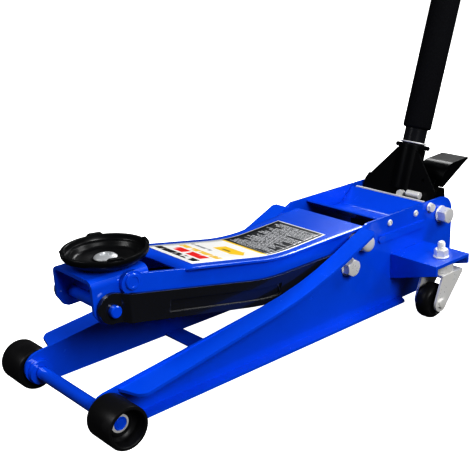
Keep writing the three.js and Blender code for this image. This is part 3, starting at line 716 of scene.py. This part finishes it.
def casterStem(side):  # a race under the bracket, a washer and a nut on top, and the stud through them
    node = f"caster_stem_{side}"
    s = casterSizes
    low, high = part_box(node)
    at = middle(node)
    stud, race = s["stud"], s["race"]
    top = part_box(f"caster_bracket_{side}")[1].z
    under = top - s["bracketPlate"]
    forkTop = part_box(f"caster_fork_{side}")[1].z
    nutFoot = top + s["washer"]
    profile = [
        (0, low.z), (0.01, low.z), (0.01, low.z + 0.004), (stud, low.z + 0.004), (stud, forkTop + seat),
        (race - 0.0018, forkTop + seat), (race, forkTop + 0.0018), (race, under - 0.004),
        (race - 0.0022, under - 0.0022), (race - 0.0022, under), (stud, under), (stud, top + seat),
        (0.0116, top + seat), (0.012, top + 0.0007), (0.012, nutFoot - 0.0004), (0.0116, nutFoot),
        (stud - 0.0008, nutFoot), (stud - 0.0008, high.z - 0.0012), (stud - 0.0016, high.z), (0, high.z),
    ]
    stem = turnedMesh(profile, (at.x, at.y, 0), upward, 56)
    nut = hexMesh(s["nutFlats"], s["nut"], (at.x, at.y, nutFoot), upward)
    made = addObject(f"caster_post_{side}", joined(outward(stem), nut), zincPlate)
    soften(made, 28)
    carry(made, "chassis", "zinc_plate", node)
    nutTop = nutFoot + s["nut"]
    threadRings(f"caster_thread_{side}", stud, high.z - nutTop - 0.0012, (at.x, at.y, nutTop), upward,
                zincPlate, "chassis")


for side in sides:
    casterWheel(side)
    casterAxle(side)
    casterStem(side)
print("casters made")

# lifting arm
coverSizes = {"thick": 0.004, "corner": 0.016, "droop": 0.0075, "droopRun": 0.016, "roll": 0.0004,
              "bend": 0.198, "widening": 0.007}
for side in sides:
    refined(f"arm_plate_{side}", blueEnamel, "blue_paint", 0.0008, 2)
refined("arm_rocker", rawIron, "cast_iron", 0.0006)


def topProfile(node):  # the height of a node's top face along y, from its own corners
    heights = {}
    for vertex in nodes[node].data.vertices:
        y = round(vertex.co.y, 4)
        heights[y] = max(heights.get(y, -1), vertex.co.z)
    low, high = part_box(node)
    tops = sorted(heights.items())
    kept = [p for p in tops if p[1] > 0]
    hull = []
    for y, z in kept:
        near = [q for t, q in kept if abs(t - y) < 0.006]
        if z >= max(near) - 0.0012 or y in (low.y, high.y):
            hull.append((y, z))
    return hull


def along(profile, y):
    for (y0, z0), (y1, z1) in zip(profile, profile[1:]):
        if y0 <= y <= y1:
            return z0 + (z1 - z0) * (y - y0) / max(y1 - y0, 1e-9)
    return profile[0][1] if y < profile[0][0] else profile[-1][1]


coverTop = topProfile("arm_cover")


def coverHalf(y):  # half width of the cover along y
    low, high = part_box("arm_cover")
    bend = low.y + coverSizes["bend"]
    narrow = high.x - coverSizes["widening"]
    if y < bend:
        return narrow
    return narrow + (high.x - narrow) * (y - bend) / (high.y - bend)


def gridFaces(rows, columns):
    faces = []
    for j in range(rows):
        for i in range(columns):
            a = j * (columns + 1) + i
            faces.append((a, a + 1, a + columns + 2, a + columns + 1))
    return faces


def thicken(piece, depth):  # gives a sheet a thickness below its face, and smooth shading
    thick = piece.modifiers.new("thick", "SOLIDIFY")
    thick.thickness = depth
    thick.offset = -1
    soften(piece, 40)


def armCover():
    s = coverSizes
    low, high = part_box("arm_cover")
    rows, columns = 90, 40
    verts = []
    for j in range(rows + 1):
        t = j / rows
        y = low.y + (high.y - low.y) * t
        fromFront = y - low.y
        half = coverHalf(y)
        c = s["corner"]
        if fromFront < c:
            half -= c - math.sqrt(max(c * c - (c - fromFront) ** 2, 0))
        for i in range(columns + 1):
            u = i / columns * 2 - 1
            x = half * u
            drop = s["droop"] * max(0, 1 - fromFront / s["droopRun"]) ** 2
            edge = max(0, abs(x) - (half - 0.006)) / 0.006
            verts.append((x, y, along(coverTop, y) - drop - s["roll"] * edge ** 2))
    made = addObject("arm_cover_plate", meshFrom(verts, gridFaces(rows, columns)), blueEnamel)
    thicken(made, s["thick"])
    bevelled(made, 0.0008, 2, 50)
    carry(made, "lift_arm", "blue_paint", "arm_cover")


labelSizes = {"half": 0.051, "front": 0.0185, "rear": 0.268, "divide": 0.151, "border": 0.0026,
              "lift": 0.00035, "thick": 0.0003, "rowPitch": 0.0042}


def labelFinish():
    s = labelSizes
    finish = Finish("arm_label", IOR=1.5, Coat_Roughness=0.1, Coat_Weight=0.2)
    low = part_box("arm_cover")[0].y
    x = finish.axis("X")
    y = finish.axis("Y") - low
    white, black, yellow = (0.86, 0.86, 0.84), (0.01, 0.012, 0.016), (0.9, 0.6, 0.012)
    body = finish.blend(y.above(s["divide"]), white, black)
    inset = s["half"] - s["border"]
    inside = x.size().below(inset) * y.within(s["front"] + s["border"], s["rear"] - s["border"])
    colour = finish.blend(inside, white, body)
    divider = y.within(s["divide"] - 0.0022, s["divide"] + 0.0022) * inside
    colour = finish.blend(divider, colour, yellow)

    def block(under, x0, x1, y0, y1, paint, gaps=None):
        area = x.within(x0, x1) * y.within(y0, y1)
        return finish.blend(area * gaps if gaps else area, under, paint)

    strokes = finish.noise(200, 0, 0.4, (1, 0.25, 1)).above(0.38, 0.04)
    wideStrokes = finish.noise(90, 0, 0.4, (1, 0.25, 1)).above(0.33, 0.03)
    colour = block(colour, -0.045, 0.042, 0.0275, 0.0395, (0.008, 0.008, 0.009), strokes)
    colour = block(colour, -0.03, 0.034, 0.045, 0.0615, (0.8, 0.012, 0.01), wideStrokes)
    colour = block(colour, -0.042, 0.044, 0.0665, 0.0775, (0.85, 0.56, 0.08), strokes)
    colour = block(colour, -0.043, 0.0, 0.0885, 0.0945, (0.3, 0.31, 0.33), strokes)
    colour = block(colour, -0.014, 0.024, 0.1055, 0.1295, yellow)
    tip = x.within(0.0235, 0.038) * (y - 0.1175).size().below(0.0385 - x, 0.0006)
    colour = finish.blend(tip, colour, yellow)
    colour = block(colour, -0.009, 0.014, 0.112, 0.117, (0.25, 0.17, 0.02), strokes)
    row = (y / s["rowPitch"]).math("FLOOR")
    chance = finish.node("ShaderNodeTexWhiteNoise", {"noise_dimensions": "1D"}, {"W": row}, "Value")
    line = y.math("MODULO", s["rowPitch"]).below(s["rowPitch"] * 0.62, 0.0003)
    started = x.above(chance * 0.03 - 0.045)
    ended = x.below(0.0445 - (chance * 17.3).math("FRACT") ** 3 * 0.05)
    letters = finish.noise(900, 1, 0.4, (1, 0.5, 1)).above(0.46, 0.04)
    printed = line * started * ended * letters * y.within(s["divide"] + 0.006, s["rear"] - 0.008)
    colour = finish.blend(printed, colour, (0.6, 0.61, 0.63))
    finish.set(Base_Color=colour, Roughness=finish.noise(80) * 0.1 + 0.3)
    finish.bump(finish.noise(150, 2), 0.03, 0.0004)
    return finish.material


def armLabel():
    s = labelSizes
    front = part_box("arm_cover")[0].y + s["front"]
    rows, columns = 70, 10
    verts = []
    for j in range(rows + 1):
        y = front + (s["rear"] - s["front"]) * j / rows
        for i in range(columns + 1):
            verts.append((s["half"] * (i / columns * 2 - 1), y, along(coverTop, y) + s["lift"]))
    made = addObject("arm_label_sheet", meshFrom(verts, gridFaces(rows, columns)), labelFinish())
    thicken(made, s["thick"])
    carry(made, "lift_arm", "blue_paint")


armCover()
armLabel()


pivotSizes = {"pin": 0.007, "boss": 0.0026}


def headPivot():
    low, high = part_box("head_pivot_pin")
    r = (high.z - low.z) / 2
    boss = pivotSizes["boss"]
    inner = high.x - boss
    pin = turnedMesh(barProfile(pivotSizes["pin"], -inner, inner), (0, headAxis.y, headAxis.z), across)
    parts = [outward(pin)]
    profile = [(0, 0), (r, 0), (r, 0.0012), (r - 0.0012, boss - 0.0002), (r * 0.62, boss),
               (r * 0.56, boss - 0.0008), (0, boss - 0.0008)]
    for sign in (1, -1):
        parts.append(outward(turnedMesh(profile, (sign * inner, headAxis.y, headAxis.z), across * sign)))
    made = addObject("head_pivot_boss", joined(*parts), blueEnamel)
    soften(made)
    carry(made, "lift_arm", "blue_paint", "head_pivot_pin")


headPivot()
for side in sides:
    refined(f"level_link_{side}", blackEnamel, "black_paint", 0.0011, 3)


def linkPin():
    low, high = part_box("link_pin")
    r = (high.z - low.z) / 2
    half = high.x
    edge = 0.0014
    end = [(0, 0), (r - edge, 0), (r, edge)]
    profile = [(a, b - half) for a, b in end] + [(a, half - b) for a, b in reversed(end)]
    at = middle("link_pin")
    made = turned("link_pin_bar", profile, (0, at.y, at.z), across, blueEnamel)
    carry(made, "links", "blue_paint", "link_pin")


linkPin()
print("arm and links made")

# head and saddle
refined("head_bracket", blueEnamel, "blue_paint", 0.0009, 3)
saddleSizes = {"rimHeight": 0.02, "rimWall": 0.0042, "floor": 0.0056, "stem": 0.015,
               "lug": (0.0042, 0.024, 0.004), "lugs": 4, "firstLug": 71}


def saddleCup():
    s = saddleSizes
    low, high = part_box("saddle_cup")
    at = pivot("saddle_spin")
    r = (high.x - low.x) / 2
    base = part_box("head_bracket")[1].z + 0.0004
    rim = base + s["rimHeight"]
    stem = s["stem"]
    inner = r - s["rimWall"]
    floor = base + s["floor"]
    profile = [
        (0, low.z), (stem, low.z), (stem, base), (0.036, base), (0.0395, base + 0.0006),
        (r - 0.0075, base + 0.0068), (r - 0.0022, base + 0.0108), (r - 0.0004, base + 0.0135),
        (r, base + 0.0155), (r, rim - 0.001), (r - 0.0007, rim), (inner, rim),
        (inner - 0.0007, rim - 0.0006), (inner - 0.001, rim - 0.0055), (inner - 0.0018, rim - 0.0066),
        (inner - 0.007, rim - 0.0072), (inner - 0.008, rim - 0.0082), (inner - 0.0092, floor + 0.0028),
        (inner - 0.0115, floor + 0.0006), (inner - 0.014, floor), (0.0205, floor),
        (0.0195, floor - 0.0006), (0.0168, floor - 0.0006), (0.016, floor), (0, floor),
    ]
    cup = turned("saddle_bowl", profile, (at.x, at.y, 0), upward, saddleBlack, 96, 35)
    carry(cup, "saddle", "black_paint", "saddle_cup")
    thick, width, height = s["lug"]
    shoulder = width / 2 - height
    outline = eased([(-width / 2, 0), (-shoulder, height), (shoulder, height), (width / 2, 0)], 0.002)
    lug = pushedMesh(outline, thick, Vector((r - thick - 0.0001, 0, rim - 0.001)), aft, upward, across)
    turnBy = (0, 0, 2 * math.pi / s["lugs"])
    start = Matrix.Translation((at.x, at.y, 0)) @ Matrix.Rotation(math.radians(s["firstLug"]), 4, "Z")
    lugs = copies("saddle_lugs", lug, s["lugs"], turnBy, saddleBlack, start, True)
    bevelled(lugs, 0.0005)
    carry(lugs, "saddle", "black_paint")


def saddleScrew():
    low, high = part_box("saddle_screw")
    at = pivot("saddle_spin")
    r = (high.x - low.x) / 2
    profile = [(0, low.z), (r - 0.0006, low.z), (r, low.z + 0.0006), (r - 0.0003, low.z + 0.0016),
               (r - 0.0024, low.z + 0.0034), (r * 0.62, low.z + 0.0048), (r * 0.48, low.z + 0.005),
               (r * 0.42, low.z + 0.0022), (0, low.z + 0.0022)]
    carry(turned("saddle_screw_head", profile, (at.x, at.y, 0), upward, screwZinc), "saddle", "zinc_plate",
          "saddle_screw")


saddleCup()
saddleScrew()
print("saddle made")

# hydraulic unit
refined("pump_block", rawIron, "cast_iron", 0.0012, 3)
refined("tank_tube", blackEnamel, "black_paint", 0.0004)
refined("tank_cap", rawIron, "cast_iron", 0.0008)
refined("ram_cylinder", bareSteel, "bright_steel", 0.0004)
for node in ("ram", "ram_pin", "pump_plunger", "pump_roller", "pedal_pin"):
    refined(node, bareSteel, "bright_steel", 0.0006)
refined("release_valve", zincPlate, "zinc_plate", 0.0005)
print("hydraulic unit made")

# yoke, pedal and handle
refined("handle_yoke", satinBlack, "black_paint", 0.0009, 3)
refined("yoke_collar", satinBlack, "black_paint", 0.0009, 3)
refined("foot_pedal", satinBlack, "black_paint", 0.0009, 3, 26)
refined("release_pin", zincPlate, "zinc_plate", 0.001, 3)
refined("yoke_screw", zincPlate, "zinc_plate", 0.0005)


def heightOn(point):
    return (Vector(point) - tiltAxis).dot(handleLine)


def span(node):  # from a node's lowest to its highest point along the handle
    heights = [heightOn(vertex.co) for vertex in nodes[node].data.vertices]
    return min(heights), max(heights)


def radiusOf(node):
    return max(((v.co - tiltAxis) - handleLine * heightOn(v.co)).length for v in nodes[node].data.vertices)


tubeSizes = {"wall": 0.0023}


def handleTubes():
    low, high = span("handle_lower_tube")
    r = radiusOf("handle_lower_tube")
    bore = r - tubeSizes["wall"]
    lower = ring([(bore, low), (r - 0.0004, low), (r, low + 0.0004), (r, high - 0.0006), (r - 0.0006, high),
                  (bore, high)])
    carry(turned("handle_lower", lower, tiltAxis, handleLine, blackEnamel), "handle", "black_paint",
          "handle_lower_tube")
    low, high = span("handle_upper_tube")
    r = radiusOf("handle_upper_tube")
    bore = r - tubeSizes["wall"]
    upper = ring([(bore, low), (r, low), (r, high - 0.0006), (r - 0.0006, high), (bore, high)])
    carry(turned("handle_upper", upper, tiltAxis, handleLine, blackEnamel), "handle", "black_paint",
          "handle_upper_tube")
    refined("handle_button", zincPlate, "zinc_plate", 0.0008, 3)


sleeveSizes = {"endRound": 0.004, "wall": 0.0046}


def foamSleeve():
    low, high = span("foam_sleeve")
    r = radiusOf("foam_sleeve")
    e = sleeveSizes["endRound"]
    b = r - sleeveSizes["wall"]
    turnIn = [(r - e + e * math.sin(a), e - e * math.cos(a)) for a in (0, 0.4, 0.8, 1.2, math.pi / 2)]
    end = [(b, 0), *turnIn]
    profile = [(a, low + h) for a, h in end] + [(a, high - h) for a, h in reversed(end)]
    cover = turned("foam_cover", ring(profile), tiltAxis, handleLine, foam, 80, 40)
    carry(cover, "handle", "foam", "foam_sleeve")


gripSizes = {"ribs": 22, "rib": 0.0026, "gap": 0.0052, "firstRib": 0.0105, "proud": 0.0011, "wall": 0.0033,
             "cap": 0.0057}


def handleGrip():
    s = gripSizes
    low, high = span("handle_grip")
    r = radiusOf("handle_grip")
    bore = r - s["wall"]
    waist = r - s["proud"]
    inside = high - s["cap"]
    profile = [(bore, low), (r - 0.0012, low), (r, low + 0.0014), (r, low + 0.006), (waist, low + 0.0075),
               (waist, high - 0.0065), (r, high - 0.005), (r - 0.0006, high - 0.002),
               (r - 0.004, high - 0.0004), (0, high), (0, inside), (bore, inside)]
    carry(turned("grip_body", ring(profile), tiltAxis, handleLine, softGrip, 64, 40), "handle", "grip_rubber",
          "handle_grip")
    width = s["rib"]
    ribProfile = [(waist - 0.0006, 0), (r - 0.0003, 0.0003), (r, width / 2), (r - 0.0003, width - 0.0003),
                  (waist - 0.0006, width)]
    rib = turnedMesh(ring(ribProfile), (0, 0, 0), upward, 48)
    place = frameAt(tiltAxis + handleLine * (low + s["firstRib"]), handleLine)
    ribs = copies("grip_ribs", outward(rib), s["ribs"], (0, 0, s["gap"]), softGrip, place)
    carry(ribs, "handle", "grip_rubber")


def glintRing():  # a painted glint: a bright zinc ring at the foot of the handle
    low = span("yoke_collar")[1] + 0.001
    r = radiusOf("handle_lower_tube") + 0.0004
    profile = [(r, low), (r + 0.0022, low), (r + 0.003, low + 0.0012), (r + 0.0022, low + 0.0024),
               (r, low + 0.0024)]
    carry(turned("handle_clip", ring(profile), tiltAxis, handleLine, brightZinc), "handle", "zinc_plate")


handleTubes()
foamSleeve()
handleGrip()
glintRing()
print("handle made")


# floor and light
studio = {"floorGlow": 0.8, "surround": 0.03, "key": 50, "front": 20, "above": 26, "rim": 20, "edge": 26,
          "reach": 7, "sweep": 2.6, "wall": 6}


def lamp(name, place, aim, size, power, shines=True):  # without shines it stays out of reflections
    data = bpy.data.lights.new(name, "AREA")
    data.shape = "RECTANGLE"
    data.size, data.size_y = size
    data.energy = power
    light = bpy.data.objects.new(name, data)
    light.location = place
    light.rotation_euler = (Vector(aim) - Vector(place)).to_track_quat("-Z", "Y").to_euler()
    light.visible_glossy = shines
    scene.collection.objects.link(light)


def floorFinish():
    finish = Finish("floor", Roughness=0.85, Specular_IOR_Level=0.0, Emission_Strength=studio["floorGlow"])
    finish.set(Base_Color=(0.9, 0.9, 0.9), Emission_Color=(1, 1, 1))
    return finish.material


def sweepMesh():  # a floor that curves up into a wall all round
    reach, bend, steps = studio["reach"], studio["sweep"], 12
    profile = [(0, 0)]
    for i in range(steps + 1):
        a = i / steps * math.pi / 2
        profile.append((reach - bend + bend * math.sin(a), bend * (1 - math.cos(a))))
    mesh = turnedMesh([*profile, (reach, studio["wall"])], (0, 0, 0), upward, 96)
    mesh.flip_normals()
    return mesh


floor = addObject("floor", sweepMesh(), floorFinish())
floor.data.shade_smooth()
floor.visible_glossy = False  # keeps the paint's reflections clear of the floor
floor.visible_diffuse = False  # and its undersides in shade
world = bpy.data.worlds.new("studio")
world.use_nodes = True
world.node_tree.nodes["Background"].inputs[0].default_value = (1, 1, 1, 1)
world.node_tree.nodes["Background"].inputs[1].default_value = studio["surround"]
scene.world = world
target = (0, 0, 0.15)
lamp("key", (2.5, -0.5, 1.7), target, (1.1, 1.1), studio["key"])
lamp("front", (-0.8, -2.2, 1.9), target, (1.0, 1.0), studio["front"])
lamp("rim", (-1.2, 2.0, 1.8), target, (1.2, 0.8), studio["rim"])
lamp("edge", (1.15, 1.8, 2.1), target, (1.3, 1.3), studio["edge"])  # lights the long edges
lamp("above", (0, 0, 3.2), target, (3.0, 3.0), studio["above"], False)
scene.view_settings.view_transform = "Standard"
scene.view_settings.look = "High Contrast"
print("floor and light made")
